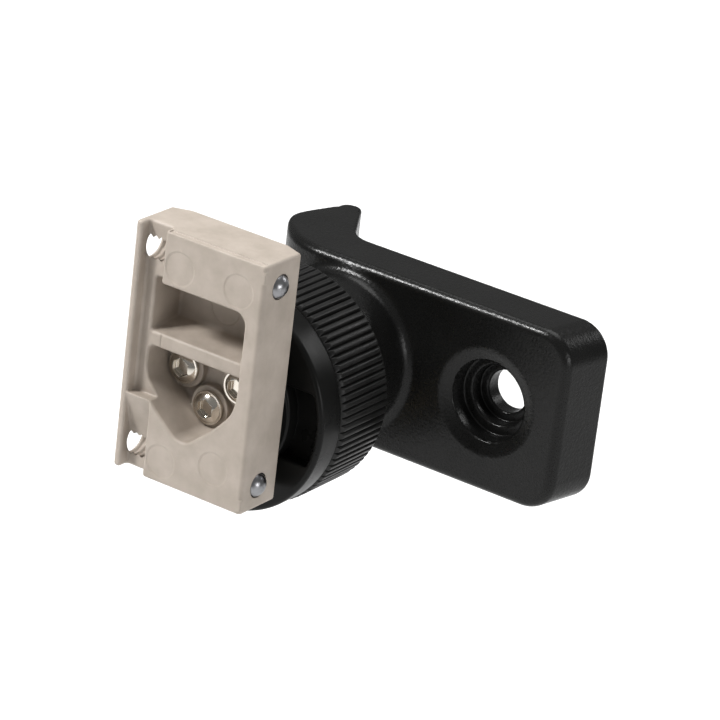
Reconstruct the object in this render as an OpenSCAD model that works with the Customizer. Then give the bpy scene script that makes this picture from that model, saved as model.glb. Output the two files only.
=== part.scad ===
// Umbrella swivel bracket: a slide block on a swivelling head, clamped by a knurled
// ring to a cast arm that bolts to a stand fitting. Millimetres, +Z up.
// The origin is the centre of the bolt hole on the arm's back face. The swivel axis
// runs along Y through the arm's left end, and -Y is towards the slide block.

/* [Arm] */
// Height of the arm's plate
plate_h = 45.2; // [42:0.2:60]
// Thickness of the plate
plate_t = 14; // [12:0.5:18]
// Distance from the swivel axis to the bolt hole
arm_reach = 41.6; // [38:0.2:60]
// Distance from the bolt hole to the arm's right end
end_reach = 23.3; // [18:0.1:30]
// Radius of the plate's right corners
corner_r = 8; // [5:0.5:10]
// Radius of the curved left end
nose_r = 19.1; // [17:0.1:21]
// How far the hook reaches behind the plate
hook_reach = 17.4; // [12:0.2:20]
// Length of the boss in front of the plate
boss_l = 19.3; // [14:0.1:24]
// Radius of the boss
boss_r = 19; // [17:0.5:20]

/* [Bolt hole] */
// Radius of the through hole, for a 3/8 inch screw
bolt_r = 5.25; // [5:0.05:5.5]
// Radius of the seat for the screw's head
bolt_seat_r = 7.5; // [7.3:0.1:8.5]
// Radius of the upper counterbore
bolt_recess_r = 10; // [9:0.1:11]
// Radius of the shallow dish round the counterbore
bolt_dish_r = 13.2; // [12:0.1:15]

/* [Lock ring] */
// Outer radius over the ribs
ring_r = 27.5; // [26:0.1:30]
// Width of the ring along the axis
ring_w = 18.6; // [16:0.1:22]
// Number of ribs round the ring
rib_count = 92; // [60:1:110]
// Depth of the grooves between the ribs
rib_depth = 0.8; // [0.5:0.1:1.1]
// Lead of the thread that drives the pressure sleeve
thread_lead = 1.5; // [1:0.25:2]
// How far the ring turns from slack to locked, in degrees
lock_turn = 144; // [90:6:180]

/* [Swivel head] */
// Radius of the smooth disc in front of the ring
disc_r = 27.1; // [25:0.1:28]
// Width of the disc's rim
disc_w = 7.5; // [6:0.1:9]
// Radius of the hub that carries the block
hub_r = 17.3; // [16:0.1:17.6]
// How far the hub stands in front of the disc's rim
hub_stand = 2.6; // [2:0.1:4]

/* [Slide block] */
// Width of the block
block_w = 36.7; // [36:0.1:44]
// Height of the block
block_h = 61; // [60:0.5:70]
// Depth of the block
block_d = 15.1; // [14.5:0.1:17]
// Distance from the block's left side to the swivel axis
block_left = 17.6; // [17.4:0.1:21]
// Distance from the block's lower end to the swivel axis
block_low = 17.4; // [17:0.1:19]
// Depth of the channel down the block's left side
channel_d = 3; // [2:0.1:3.5]
// Thickness of the block's floor behind the pockets
floor_t = 2; // [1.6:0.1:2.5]

/* [Ball plungers] */
// Radius of a detent ball
ball_r = 3.2; // [3:0.05:3.25]
// Radius of the tapped bore behind it
tap_r = 4.1; // [4:0.05:4.3]
// How far a ball can be pushed in
ball_travel = 1.5; // [1:0.1:1.6]

/* [Hidden] */
$fn = 64;

// Places along the swivel axis, from the arm's back face at 0 towards -Y
axis_x = -arm_reach;
ring_gap = 0.5;
disc_gap = 0.3;
face_y = -plate_t;
boss_y = face_y - boss_l;
ring_back_y = boss_y - ring_gap;
ring_front_y = ring_back_y - ring_w;
disc_back_y = ring_front_y - disc_gap;
disc_front_y = disc_back_y - disc_w;
block_back_y = disc_front_y - hub_stand;
block_front_y = block_back_y - block_d;
floor_y = block_back_y - floor_t;

// The arm's curved end in plan, and the hook that it ends in
nose_x = axis_x - 9.1;
nose_y = nose_r - plate_t;
hook_angle = 60;
hook_wall_x = nose_x + 0.2;
hook_fillet_r = 7.6;
hook_tip_r = 3;
hook_tip_y = hook_reach - hook_tip_r;
hook_tip_x = hook_wall_x - hook_tip_y / tan(hook_angle) - hook_tip_r / sin(hook_angle);
flank_x = nose_x - 18.6;
flank_y = 2.5;

// The plate's edges, and the fillet at the foot of the boss
half_h = plate_h / 2;
edge_cut = 2;
end_cut = 3;
foot_cut = 3;
foot_trim = 6;

// Depths of the bolt hole's steps, from the arm's back face
bolt_seat_y = 4.5;
bolt_recess_y = 8;
bolt_dish_d = 1.2;

// Parts inside the lock ring
stem_r = 13;
stem_inset = 2.4;
stem_end_y = ring_front_y + stem_inset;
spindle_r = 6;
journal_r = 3.2;
stud_r = 4;
running_gap = 0.06;
sleeve_in_r = stem_r + running_gap;
sleeve_r = 16.5;
sleeve_l = 12;
liner_in_r = sleeve_r + running_gap;
liner_r = 21.6;
liner_inset = 0.6;
thrust_gap = 0.04;
sleeve_travel = thread_lead * lock_turn / 360;
washer_t = 1.6;
washer_in_r = stem_r + 0.8;
washer_r = sleeve_r - 0.2;
washer_front_y = disc_back_y + sleeve_travel + running_gap;
sleeve_front_y = washer_front_y + washer_t;
bush_r = 9;
bush_in_r = spindle_r + running_gap;
bush_stand = 0.2;
key_r = 1.5;
key_l = 6;
key_gap = 0.1;

// The recess at the arm's back, with the spindle's nut and washer in it
nut_flat = 13;
nut_h = 5;
nut_washer_r = 8;
nut_washer_t = 1.3;
nut_recess_r = 9;
nut_recess_d = 8;
stud_l = 6.5;

// Screws that hold the block on the disc, and the one that holds both on the spindle
screw_dx = 7.9;
screw_dz = 7.7;
screw_r = 2;
screw_end_y = disc_front_y + 4;
pivot_screw_l = 9;
pivot_gap = 0.05;
seat_stand = 1.9;
seat_y = floor_y - seat_stand;
seat_r = 5.2;
head_r = 3.9;
head_h = 2;
head_washer_r = 4.1;
head_washer_t = 1;
socket_flat = 4;
socket_d = 1.5;
screw_places = [[-screw_dx, screw_dz], [screw_dx, screw_dz]];
dowel_places = [[-10.5, -9.5], [10.5, -9.5]];
dowel_r = 1.5;
dowel_l = 5.2;
dowel_in_block = 1.2;

// The disc's rim and the pockets in its face
rim_cut = 1;
disc_pocket_d = 3.4;
disc_pocket_w = 12.4;
disc_pocket_h = 18;
disc_pocket_x = 19;

// The slide block, with its sizes taken from its lower left front corner
left_x = axis_x - block_left;
right_x = left_x + block_w;
low_z = -block_low;
high_z = low_z + block_h;
bevel_x = 4.8;
bevel_y = 1.9;
channel_x = 1.9;
panel_x = 8.5;
ledge_z = 19.1;
ramp_z = 9;
pocket_left = 4.7;
pocket_right = block_w - 4.4;
pocket_high = 48;
pocket_corner_r = 3;
crossbar_low = 31.2;
crossbar_high = 34.6;

// The plunger bores across the block
bore_y = block_front_y + 6.3;
bore_top_z = high_z - 6.4;
bore_bottom_z = low_z + 5.8;
tap_l = 24;
ball_bore_r = 3.3;
ball_rim_r = 2.95;
ball_rim_t = 0.3;
ball_inset = 1.65;
ball_x = right_x - ball_inset;
spring_r = 2.9;
spring_wire = 0.6;
spring_in_r = spring_r - spring_wire;
spring_coils = 7;
spring_spare = 3;
spring_l = (spring_coils + 1) * spring_wire + ball_travel + spring_spare;
spring_x = ball_x - sqrt(ball_r * ball_r - spring_in_r * spring_in_r) - spring_l;
set_screw_l = 8;
set_screw_x = spring_x - set_screw_l;
set_socket_flat = 4;
set_socket_d = 3.5;

// How far a cutting shape runs past the face that it cuts
over = 1;

// Draws its children with their own +Z along +Y, starting at depth y on the swivel axis
module on_axis(y, dx = 0, dz = 0) {
    translate([axis_x + dx, y, dz]) rotate([-90, 0, 0]) children();
}

// A plain disc or shaft on the swivel axis
module shaft(y, length, r, dx = 0, dz = 0) {
    on_axis(y, dx, dz) cylinder(h = length, r = r);
}

// A flat ring on the swivel axis
module washer(y, thickness, inner_r, outer_r, dx = 0, dz = 0) {
    on_axis(y, dx, dz) difference() {
        cylinder(h = thickness, r = outer_r);
        translate([0, 0, -over]) cylinder(h = thickness + 2 * over, r = inner_r);
    }
}

// Draws its children with their own +Z along +X, in the plunger bore at height z, starting at x
module in_bore(x, z) {
    translate([x, bore_y, z]) rotate([0, 90, 0]) children();
}

// The hook in plan: the arm's curved end carried round behind the back face
module hook_plan() {
    far_x = nose_x - nose_r - over;
    intersection() {
        translate([nose_x, nose_y]) circle(r = nose_r, $fn = 96);
        polygon([
            [far_x, -plate_t - over], [nose_x, -plate_t - over], [hook_wall_x, 0],
            [hook_tip_x + hook_tip_r * sin(hook_angle), hook_tip_y + hook_tip_r * cos(hook_angle)],
            [hook_tip_x - hook_tip_r, hook_tip_y], [flank_x, flank_y], [far_x, flank_y]
        ]);
    }
    translate([hook_tip_x, hook_tip_y]) circle(r = hook_tip_r);
}

// The inner corner between the hook and the back face, filled to an arc
module hook_fillet() {
    reach = hook_fillet_r * tan(hook_angle / 2);
    difference() {
        polygon([
            [hook_wall_x - reach * cos(hook_angle), reach * sin(hook_angle)],
            [hook_wall_x - over, -over], [hook_wall_x + reach, -over], [hook_wall_x + reach, 0]
        ]);
        translate([hook_wall_x + reach, hook_fillet_r]) circle(r = hook_fillet_r);
    }
}

// The arm seen from above: plate, curved end and hook
module arm_plan() {
    difference() {
        union() {
            translate([nose_x, -plate_t]) square([end_reach - nose_x, plate_t]);
            hook_plan();
            hook_fillet();
        }
        translate([end_reach, -plate_t]) rotate(45) square(end_cut * sqrt(2), center = true);
    }
}

// The arm seen from the front: a plate with round right corners
module arm_front() {
    far_x = nose_x - nose_r - over;
    translate([far_x, -half_h]) square([end_reach - corner_r - far_x, plate_h]);
    translate([0, -half_h + corner_r]) square([end_reach, plate_h - 2 * corner_r]);
    for (side = [-1, 1])
        translate([end_reach - corner_r, side * (half_h - corner_r)]) circle(r = corner_r);
}

// The arm seen from its right end: the front edges are bevelled
module arm_side() {
    polygon([
        [-plate_t, -half_h + edge_cut], [-plate_t + edge_cut, -half_h], [hook_reach + over, -half_h],
        [hook_reach + over, half_h], [-plate_t + edge_cut, half_h], [-plate_t, half_h - edge_cut]
    ]);
}

// The plate and hook: the space that the three outlines have in common
module arm_plate() {
    far_x = nose_x - nose_r - over;
    intersection() {
        translate([0, 0, -half_h]) linear_extrude(height = plate_h) arm_plan();
        translate([0, hook_reach + over, 0]) rotate([90, 0, 0])
            linear_extrude(height = hook_reach + plate_t + 2 * over) arm_front();
        translate([far_x, 0, 0]) rotate([90, 0, 90])
            linear_extrude(height = end_reach - far_x + over) arm_side();
    }
}

// The bolt hole: through hole, head seat, counterbore and shallow dish
module bolt_cuts() {
    translate([0, over, 0]) rotate([90, 0, 0]) cylinder(h = plate_t + 2 * over, r = bolt_r);
    translate([0, -bolt_seat_y, 0]) rotate([90, 0, 0]) cylinder(h = plate_t, r = bolt_seat_r);
    translate([0, -bolt_recess_y, 0]) rotate([90, 0, 0]) cylinder(h = plate_t, r = bolt_recess_r);
    translate([0, face_y + bolt_dish_d, 0]) rotate([90, 0, 0])
        cylinder(h = 2 * bolt_dish_d, r1 = bolt_recess_r, r2 = 2 * bolt_dish_r - bolt_recess_r);
}

// The cast arm: plate and hook, boss, and the stem that the lock ring turns round
module bracket_casting() {
    color("#1d1d1f") difference() {
        union() {
            arm_plate();
            shaft(boss_y, boss_l + foot_cut, boss_r);
            intersection() {
                on_axis(face_y - foot_cut)
                    cylinder(h = foot_cut + over, r1 = boss_r, r2 = boss_r + foot_cut);
                translate([nose_x - foot_trim, face_y - foot_cut, -half_h])
                    cube([foot_trim + 2 * boss_r, foot_cut + over, plate_h]);
            }
            shaft(stem_end_y, boss_y - stem_end_y + over, stem_r);
        }
        bolt_cuts();
        shaft(stem_end_y - over, -stem_end_y, spindle_r);
        shaft(-nut_recess_d, nut_recess_d + hook_reach, nut_recess_r);
        for (side = [-1, 1]) shaft(stem_end_y - over, key_l + over, key_r, side * stem_r, 0);
    }
}

// The spindle: a thick middle, a thin journal in front and a stud for the nut behind
module pivot_spindle() {
    shoulder_y = disc_front_y - 2 * bush_stand;
    middle_end_y = -nut_recess_d - 1;
    journal_y = seat_y - pivot_gap;
    color("#b9babd") difference() {
        union() {
            shaft(shoulder_y, middle_end_y - shoulder_y, spindle_r);
            shaft(journal_y, shoulder_y - journal_y + over, journal_r);
            shaft(middle_end_y - over, stud_l + 2 * over, stud_r);
        }
        shaft(journal_y - over, pivot_screw_l + 3 * over, screw_r);
    }
}

module spindle_nut() {
    color("#c4c5c8") on_axis(-nut_recess_d + nut_washer_t) difference() {
        cylinder(h = nut_h, r = nut_flat / sqrt(3), $fn = 6);
        translate([0, 0, -over]) cylinder(h = nut_h + 2 * over, r = stud_r);
    }
}

module spindle_washer() {
    color("#c4c5c8") washer(-nut_recess_d, nut_washer_t, stud_r + running_gap, nut_washer_r);
}

// Two keys that stop the pressure sleeve from turning with the ring
module sleeve_keys() {
    color("#b0b1b4") for (side = [-1, 1]) shaft(stem_end_y, key_l, key_r, side * stem_r, 0);
}

// A button-head screw: a domed head with a hexagon socket, and a shank that ends at end_y
module button_screw(under_y, end_y, dx = 0, dz = 0) {
    dome_r = (head_r * head_r + head_h * head_h) / (2 * head_h);
    on_axis(under_y, dx, dz) difference() {
        union() {
            intersection() {
                translate([0, 0, dome_r - head_h]) sphere(r = dome_r);
                translate([0, 0, -head_h - over]) cylinder(h = head_h + over, r = head_r + over);
            }
            cylinder(h = end_y - under_y, r = screw_r);
        }
        translate([0, 0, -head_h - over])
            cylinder(h = socket_d + over, r = socket_flat / sqrt(3), $fn = 6);
    }
}

module pivot_screw() {
    color("#cfcdc8") button_screw(seat_y - pivot_gap - head_washer_t, seat_y + pivot_screw_l);
}

module pivot_washer() {
    color("#cfcdc8") washer(seat_y - pivot_gap - head_washer_t, head_washer_t, screw_r, head_washer_r);
}

module thrust_washer() {
    color("#c9b27a") washer(ring_back_y + thrust_gap, ring_gap - thrust_gap, stem_r, boss_r - 0.5);
}

// The knurled ring: straight ribs all round, with a V groove between each two
module lock_ring() {
    groove_w = 0.8;
    lip = 0.4;
    half_w = groove_w / 2 * (rib_depth + lip) / rib_depth;
    color("#161617") on_axis(ring_front_y) difference() {
        cylinder(h = ring_w, r = ring_r, $fn = 128);
        translate([0, 0, -over]) cylinder(h = ring_w + 2 * over, r = liner_r);
        for (i = [0 : rib_count - 1])
            rotate(i * 360 / rib_count) translate([ring_r, 0, -over])
                linear_extrude(height = ring_w + 2 * over)
                    polygon([[-rib_depth, 0], [lip, -half_w], [lip, half_w]]);
    }
}

module ring_liner() {
    color("#c2a458") washer(ring_front_y + liner_inset, ring_w - liner_inset, liner_in_r, liner_r);
}

// The sleeve that the ring's thread drives forward, slotted for the two keys
module pressure_sleeve() {
    slot_r = key_r + key_gap;
    color("#a9abae") difference() {
        washer(sleeve_front_y, sleeve_l, sleeve_in_r, sleeve_r);
        for (side = [-1, 1])
            shaft(sleeve_front_y - over, sleeve_l + 2 * over, slot_r, side * stem_r, 0);
    }
}

module friction_washer() {
    color("#6e4a34") washer(washer_front_y, washer_t, washer_in_r, washer_r);
}

// The head's disc: a rim, a hub that carries the block and two pockets in its face
module swivel_disc() {
    hub_l = disc_back_y - block_back_y;
    color("#1a1a1c") difference() {
        union() {
            shaft(disc_front_y + rim_cut, disc_w - rim_cut, disc_r);
            on_axis(disc_front_y) cylinder(h = rim_cut, r1 = disc_r - rim_cut, r2 = disc_r);
            shaft(block_back_y, hub_l, hub_r);
        }
        difference() {
            for (side = [-1, 1])
                translate([
                    axis_x + side * disc_pocket_x - disc_pocket_w / 2, disc_front_y - over, -disc_pocket_h / 2
                ]) cube([disc_pocket_w, disc_pocket_d + over, disc_pocket_h]);
            shaft(disc_front_y - 2 * over, disc_w, hub_r);
        }
        shaft(block_back_y - over, hub_l + 2 * over, bush_r);
        for (place = screw_places)
            shaft(block_back_y - over, screw_end_y - block_back_y + over, screw_r, place[0], place[1]);
        for (place = dowel_places)
            shaft(block_back_y - over, dowel_l - dowel_in_block + over, dowel_r, place[0], place[1]);
    }
}

module pivot_bush() {
    bush_y = disc_front_y - bush_stand;
    color("#b98a4a") washer(bush_y, disc_back_y - bush_y, bush_in_r, bush_r);
}

module locating_dowels() {
    color("#b0b1b4") for (place = dowel_places)
        shaft(block_back_y - dowel_in_block, dowel_l, dowel_r, place[0], place[1]);
}

// The block seen from above, with its bevelled back corners
module block_plan() {
    polygon([
        [0, 0], [block_w, 0], [block_w, block_d - bevel_y], [block_w - bevel_x, block_d],
        [bevel_x, block_d], [0, block_d - bevel_y]
    ]);
}

// The upper pocket's outline, seen from the front
module upper_pocket() {
    wide = pocket_right - pocket_left;
    high = pocket_high - crossbar_high;
    translate([pocket_left, crossbar_high]) square([wide - pocket_corner_r, high]);
    translate([pocket_left, crossbar_high]) square([wide, high - pocket_corner_r]);
    translate([pocket_right - pocket_corner_r, pocket_high - pocket_corner_r]) circle(r = pocket_corner_r);
}

// The lower pocket's outline: sides that run down to a blunt point
module lower_pocket() {
    polygon([
        [4.5, crossbar_low], [4.5, 23.6], [7.4, 19.6], [17.1, 12.2], [18.4, 11.7], [19.7, 12.2],
        [pocket_right - 2.7, 20.4], [pocket_right - 0.4, 24.2], [pocket_right, 27.2],
        [pocket_right, crossbar_low]
    ]);
}

// The wedge in the channel: a flat ledge on top and a ramp below it, drawn from the side
module wedge_side() {
    polygon([
        [0, ledge_z], [channel_d + over, ledge_z], [channel_d + over, ramp_z], [channel_d, ramp_z]
    ]);
}

// Moves its children from the block's own corner to the block's place
module in_block(dx = 0, dy = 0, dz = 0) {
    translate([left_x + dx, block_front_y + dy, low_z + dz]) children();
}

// The block without its bores: body, channel, pockets, low crossbar and wedge
module block_body() {
    difference() {
        in_block() linear_extrude(height = block_h) block_plan();
        in_block(channel_x, -over, -over)
            cube([panel_x - channel_x, channel_d + over, block_h + 2 * over]);
        in_block(0, block_d - floor_t, 0) rotate([90, 0, 0]) linear_extrude(height = block_d) {
            upper_pocket();
            lower_pocket();
        }
        in_block(panel_x - over, -over, crossbar_low - over)
            cube([pocket_right - panel_x + over, channel_d + over, crossbar_high - crossbar_low + 2 * over]);
    }
    in_block(channel_x - 0.2) rotate([90, 0, 90])
        linear_extrude(height = panel_x - channel_x + 0.4) wedge_side();
}

module plunger_bore(z) {
    in_bore(left_x - over, z) cylinder(h = tap_l + over, r = tap_r);
    in_bore(left_x, z) cylinder(h = block_w - ball_rim_t, r = ball_bore_r);
    in_bore(right_x - over, z) cylinder(h = 2 * over, r = ball_rim_r);
}

module slide_block() {
    color("#beb2a6") difference() {
        union() {
            block_body();
            for (place = concat([[0, 0]], screw_places))
                shaft(seat_y, seat_stand + floor_t / 2, seat_r, place[0], place[1]);
        }
        for (z = [bore_top_z, bore_bottom_z]) plunger_bore(z);
        shaft(seat_y - over, seat_stand + floor_t + 2 * over, journal_r + running_gap);
        for (place = screw_places)
            shaft(seat_y - over, seat_stand + floor_t + 2 * over, screw_r, place[0], place[1]);
        for (place = dowel_places)
            shaft(block_back_y - dowel_in_block, dowel_l, dowel_r, place[0], place[1]);
    }
}

module block_screws() {
    color("#cfcdc8") for (place = screw_places)
        button_screw(seat_y - head_washer_t, screw_end_y, place[0], place[1]);
}

module block_washers() {
    color("#cfcdc8") for (place = screw_places)
        washer(seat_y - head_washer_t, head_washer_t, screw_r, head_washer_r, place[0], place[1]);
}

// A headless screw with a hexagon socket, in a tapped plunger bore
module set_screw(z) {
    in_bore(set_screw_x, z) difference() {
        cylinder(h = set_screw_l, r = tap_r);
        translate([0, 0, -over])
            cylinder(h = set_socket_d + over, r = set_socket_flat / sqrt(3), $fn = 6);
    }
}

module set_screw_top() {
    color("#8c8d90") set_screw(bore_top_z);
}

module set_screw_bottom() {
    color("#8c8d90") set_screw(bore_bottom_z);
}

// The space that a plunger spring's coils take up
module plunger_spring(z) {
    in_bore(spring_x, z) difference() {
        cylinder(h = spring_l, r = spring_r);
        translate([0, 0, -over]) cylinder(h = spring_l + 2 * over, r = spring_in_r);
    }
}

module plunger_spring_top() {
    color("#9a9b9e") plunger_spring(bore_top_z);
}

module plunger_spring_bottom() {
    color("#9a9b9e") plunger_spring(bore_bottom_z);
}

module plunger_ball_top() {
    color("#d8d9dc") in_bore(ball_x, bore_top_z) sphere(r = ball_r);
}

module plunger_ball_bottom() {
    color("#d8d9dc") in_bore(ball_x, bore_bottom_z) sphere(r = ball_r);
}

bracket_casting();
pivot_spindle();
spindle_nut();
spindle_washer();
sleeve_keys();
pivot_screw();
pivot_washer();
thrust_washer();
lock_ring();
ring_liner();
pressure_sleeve();
friction_washer();
swivel_disc();
pivot_bush();
locating_dowels();
slide_block();
block_screws();
block_washers();
set_screw_top();
set_screw_bottom();
plunger_spring_top();
plunger_spring_bottom();
plunger_ball_top();
plunger_ball_bottom();
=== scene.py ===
"""The looks of an umbrella swivel bracket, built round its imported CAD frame.

Shapes are worked out in millimetres, as distance fields, lofts and lathed profiles, and become
Blender meshes in metres. A distance field is negative inside the solid.
"""

import math

import bpy
import numpy as np
from mathutils import Matrix, Vector


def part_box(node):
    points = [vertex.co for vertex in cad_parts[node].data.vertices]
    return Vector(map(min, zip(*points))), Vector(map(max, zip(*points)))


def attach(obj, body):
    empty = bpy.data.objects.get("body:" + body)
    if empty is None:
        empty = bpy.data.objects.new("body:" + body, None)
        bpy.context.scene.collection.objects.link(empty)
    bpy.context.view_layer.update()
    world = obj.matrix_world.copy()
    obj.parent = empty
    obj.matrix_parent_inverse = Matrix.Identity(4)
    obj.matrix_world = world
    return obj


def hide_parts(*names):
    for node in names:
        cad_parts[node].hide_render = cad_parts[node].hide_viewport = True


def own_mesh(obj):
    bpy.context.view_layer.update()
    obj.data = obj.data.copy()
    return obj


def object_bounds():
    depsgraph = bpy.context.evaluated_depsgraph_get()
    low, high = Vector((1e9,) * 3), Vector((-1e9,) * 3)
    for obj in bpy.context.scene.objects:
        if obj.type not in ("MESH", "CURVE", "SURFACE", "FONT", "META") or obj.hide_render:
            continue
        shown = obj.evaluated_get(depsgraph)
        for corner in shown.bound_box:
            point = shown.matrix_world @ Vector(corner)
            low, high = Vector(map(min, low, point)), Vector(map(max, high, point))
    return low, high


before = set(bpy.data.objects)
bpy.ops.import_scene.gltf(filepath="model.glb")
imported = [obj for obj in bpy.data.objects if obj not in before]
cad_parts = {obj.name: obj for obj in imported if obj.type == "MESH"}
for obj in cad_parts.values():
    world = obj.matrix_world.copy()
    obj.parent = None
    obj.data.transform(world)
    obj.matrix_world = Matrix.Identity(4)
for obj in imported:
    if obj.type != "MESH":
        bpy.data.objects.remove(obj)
cad_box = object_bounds()

MM = 0.001
TURN = 2 * math.pi


# ---------------------------------------------------------------- places from the frame

def box_mm(node):
    """Lowest and highest corner of a CAD node, in millimetres."""
    low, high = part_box(node)
    return np.array(low) / MM, np.array(high) / MM


ARM_LOW, ARM_HIGH = box_mm("bracket_casting")
SPINDLE_LOW, SPINDLE_HIGH = box_mm("pivot_spindle")
RING_LOW, RING_HIGH = box_mm("lock_ring")
LINER_HIGH = box_mm("ring_liner")[1]
DISC_LOW, DISC_HIGH = box_mm("swivel_disc")
BUSH_LOW, BUSH_HIGH = box_mm("pivot_bush")
BLOCK_LOW, BLOCK_HIGH = box_mm("slide_block")
SCREWS_LOW, SCREWS_HIGH = box_mm("block_screws")
PIVOT_LOW, PIVOT_HIGH = box_mm("pivot_screw")
WASHERS_LOW, WASHERS_HIGH = box_mm("block_washers")
PIVOT_WASHER_LOW, PIVOT_WASHER_HIGH = box_mm("pivot_washer")
NUT_LOW, NUT_HIGH = box_mm("spindle_nut")
NUT_WASHER_LOW, NUT_WASHER_HIGH = box_mm("spindle_washer")
SET_LOW, SET_HIGH = box_mm("set_screw_top")
SPRING_LOW, SPRING_HIGH = box_mm("plunger_spring_top")
BALL_LOW, BALL_HIGH = box_mm("plunger_ball_top")
LOW_BALL_LOW, LOW_BALL_HIGH = box_mm("plunger_ball_bottom")

AXIS_X = (SPINDLE_LOW[0] + SPINDLE_HIGH[0]) / 2
BLOCK_SIZE = BLOCK_HIGH - BLOCK_LOW
BALL_CENTRE = (BALL_LOW + BALL_HIGH) / 2
BORE_Y = BALL_CENTRE[1]
BORE_TOP_Z = BALL_CENTRE[2]
BORE_BOTTOM_Z = (LOW_BALL_LOW[2] + LOW_BALL_HIGH[2]) / 2


# ---------------------------------------------------------------- distance fields

def length(a, b):
    """Length of the vector (a, b)."""
    return np.sqrt(a * a + b * b)


def meet(a, b, radius=0.0):
    """What two fields have in common, with the edge between them rounded."""
    if np.ndim(radius) == 0 and radius <= 0:
        return np.maximum(a, b)
    near = length(np.maximum(a + radius, 0), np.maximum(b + radius, 0))
    return np.minimum(np.maximum(a, b), -radius) + near


def join(a, b, radius=0.0):
    """Two fields together, with a fillet between them."""
    return -meet(-a, -b, radius)


def cut(a, b, radius=0.0):
    """The first field without the second, with the new edges rounded."""
    return meet(a, -b, radius)


def meet_all(fields, radius=0.0):
    """What all the fields have in common, taken one after the other."""
    result = fields[0]
    for field in fields[1:]:
        result = meet(result, field, radius)
    return result


def sides(a, b, points):
    """Distance outside each side of a convex outline, whose points run anticlockwise."""
    found = []
    for (a0, b0), (a1, b1) in zip(points, points[1:] + points[:1]):
        run = math.hypot(a1 - a0, b1 - b0)
        found.append(((a - a0) * (b1 - b0) - (b - b0) * (a1 - a0)) / run)
    return found


def tube_round(a, b, radius):
    """Distance outside a round bar whose middle is at (0, 0)."""
    return length(a, b) - radius


def between(a, low, high):
    """Distance outside the slab from low to high."""
    return np.abs(a - (low + high) / 2) - (high - low) / 2


def soft_step(share):
    """0 below 0 and 1 above 1, with a smooth rise between."""
    share = np.clip(share, 0, 1)
    return share * share * (3 - 2 * share)


def hexagon(a, b, half_flat, turned=0.0):
    """Distance outside a hexagon, with its flats turned from the first axis by an angle."""
    flats = [np.abs(a * math.cos(turned + i * TURN / 6) + b * math.sin(turned + i * TURN / 6))
             for i in range(3)]
    return np.maximum(np.maximum(flats[0], flats[1]), flats[2]) - half_flat


def thread_depth(along, angle, pitch):
    """0 at a thread's crest and 1 at its root, for a right-hand thread."""
    phase = np.mod(along / pitch - angle / TURN, 1.0)
    return np.clip((np.abs(phase - 0.5) * 2 - 0.12) / 0.76, 0, 1)


# ---------------------------------------------------------------- meshes from fields

CORNERS = [(i, j, k) for i in (0, 1) for j in (0, 1) for k in (0, 1)]


def gradient(field, points, step=0.01):
    """A field's slope at each point, from the values on both sides of it."""
    slope = np.empty_like(points)
    for axis in range(3):
        offset = np.zeros(3)
        offset[axis] = step
        ahead = field(*(points + offset).T)
        behind = field(*(points - offset).T)
        slope[:, axis] = (ahead - behind) / (2 * step)
    return slope


def net_points(values, cells):
    """One point in each cell that the surface crosses: the middle of its crossed edges."""
    count = len(cells)
    total = np.zeros((count, 3))
    hits = np.zeros(count)
    corner_values = [values[tuple((cells + corner).T)] for corner in CORNERS]
    for first, start in enumerate(CORNERS):
        for second, end in enumerate(CORNERS):
            step = np.subtract(end, start)
            if step.min() < 0 or step.sum() != 1:
                continue
            low = corner_values[first]
            high = corner_values[second]
            crossed = (low < 0) != (high < 0)
            share = low[crossed] / (low[crossed] - high[crossed])
            total[crossed] += np.array(start) + share[:, None] * step
            hits[crossed] += 1
    return cells + total / hits[:, None]


def net_quads(inside, index):
    """Four cells round each grid edge that the surface crosses."""
    quads = []
    for axis in range(3):
        second = (axis + 1) % 3
        third = (axis + 2) % 3
        near = [slice(1, -1)] * 3
        near[axis] = slice(0, -1)
        far = list(near)
        far[axis] = slice(1, None)
        here = inside[tuple(near)]
        changed = np.argwhere(here != inside[tuple(far)])
        facing = here[tuple(changed.T)]
        shift = np.ones(3, int)
        shift[axis] = 0
        base = changed + shift
        ring = []
        for back_second, back_third in ((1, 1), (0, 1), (0, 0), (1, 0)):
            cell = base.copy()
            cell[:, second] -= back_second
            cell[:, third] -= back_third
            ring.append(index[tuple(cell.T)])
        loop = np.stack(ring, axis=1)
        loop[~facing] = loop[~facing][:, ::-1]
        quads.append(loop)
    return np.concatenate(quads)


def field_surface(field, low, high, cell):
    """Points and quads on a field's zero surface, with each point moved onto the true surface."""
    low = np.array(low, float) - 2.3 * cell
    high = np.array(high, float) + 2.3 * cell
    steps = [np.arange(low[i], high[i] + cell, cell) for i in range(3)]
    grid = np.meshgrid(*steps, indexing="ij", sparse=True)
    shape = tuple(len(s) for s in steps)
    values = np.ascontiguousarray(np.broadcast_to(field(*grid), shape))
    inside = values < 0
    count = np.zeros(tuple(n - 1 for n in shape), np.int8)
    for i, j, k in CORNERS:
        count += inside[i:shape[0] - 1 + i, j:shape[1] - 1 + j, k:shape[2] - 1 + k]
    mixed = (count > 0) & (count < 8)
    cells = np.argwhere(mixed)
    index = np.full(mixed.shape, -1, np.int32)
    index[mixed] = np.arange(len(cells))
    points = net_points(values, cells) * cell + low
    for _ in range(4):
        slope = gradient(field, points)
        size = (slope * slope).sum(axis=1).clip(0.05, None)
        move = -(field(*points.T) / size)[:, None] * slope
        reach = np.linalg.norm(move, axis=1, keepdims=True).clip(1e-9, None)
        points += move * np.minimum(1, 0.4 * cell / reach)
    return points, net_quads(inside, index)


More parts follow.
